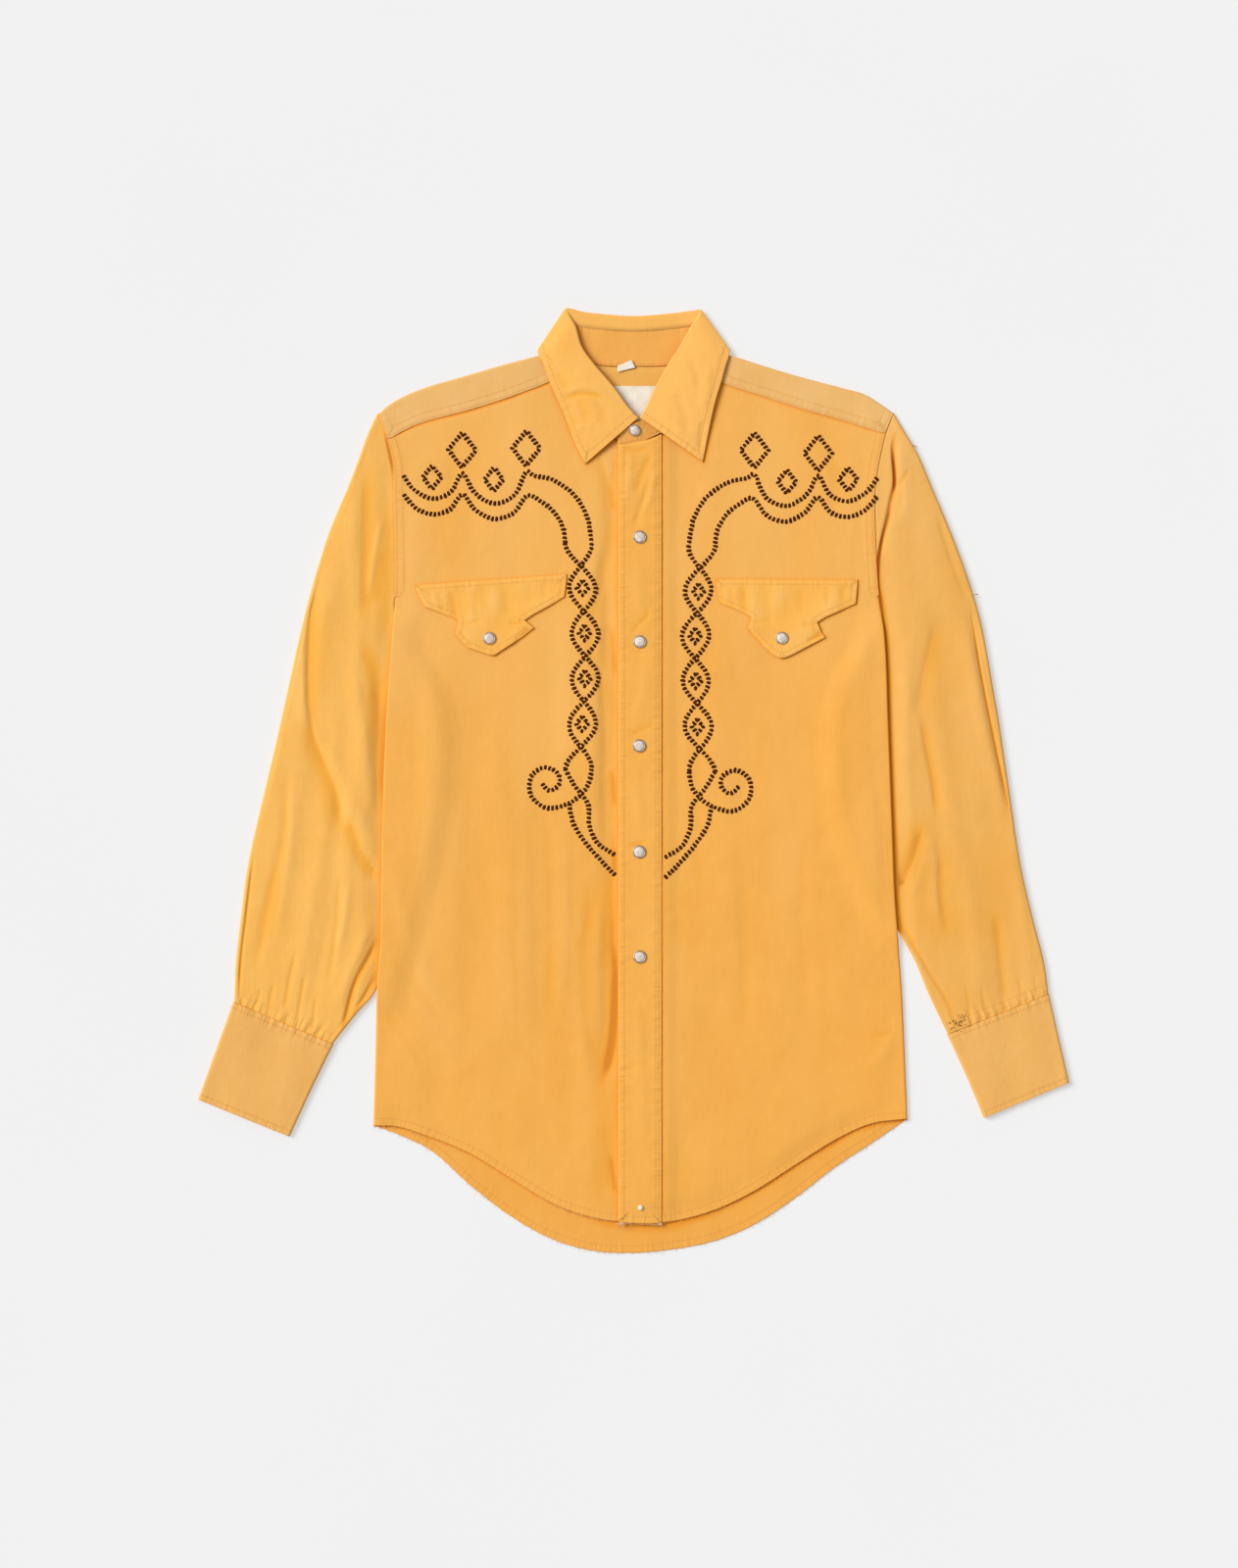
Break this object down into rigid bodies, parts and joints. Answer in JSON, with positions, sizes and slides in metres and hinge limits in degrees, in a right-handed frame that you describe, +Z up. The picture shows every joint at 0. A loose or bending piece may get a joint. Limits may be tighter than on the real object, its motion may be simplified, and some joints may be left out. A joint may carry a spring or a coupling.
{
  "type": "western snap shirt",
  "caption": "Long-sleeved western snap shirt in mustard twill, laid flat on its back, with pointed collar, shaped pocket flaps, rope embroidery and pearl snaps.",
  "frame": {"origin": "centre of the footprint, on the surface that the shirt lies on", "axes": "+X to the right of a viewer who looks down on the front of the shirt, +Y from hem to neck, +Z up away from the surface, through the front"},
  "size_m": [0.7552, 0.8187, 0.0115],
  "materials": {
    "shirting": "matt mustard cotton twill",
    "tape": "off-white woven tape",
    "snap_metal": "satin",
    "pearl": "pearly gloss"
  },
  "bodies": {
    "root": {"back": "shirting", "yoke": "shirting", "front_left": "shirting", "front_right": "shirting", "placket": "shirting", "collar_stand": "shirting", "collar_leaf": "shirting", "sleeve_left": "shirting", "sleeve_right": "shirting", "cuff_left": "shirting", "cuff_right": "shirting", "flap_left": "shirting", "flap_right": "shirting", "label": "tape", "size_tab": "tape", "hem_tack": "tape", "ring_1": "snap_metal", "ring_2": "snap_metal", "ring_3": "snap_metal", "ring_4": "snap_metal", "ring_5": "snap_metal", "ring_flap_left": "snap_metal", "ring_flap_right": "snap_metal", "ring_collar": "snap_metal", "pearl_1": "pearl", "pearl_2": "pearl", "pearl_3": "pearl", "pearl_4": "pearl", "pearl_5": "pearl", "pearl_flap_left": "pearl", "pearl_flap_right": "pearl", "pearl_collar": "pearl"}
  },
  "joints": []
}
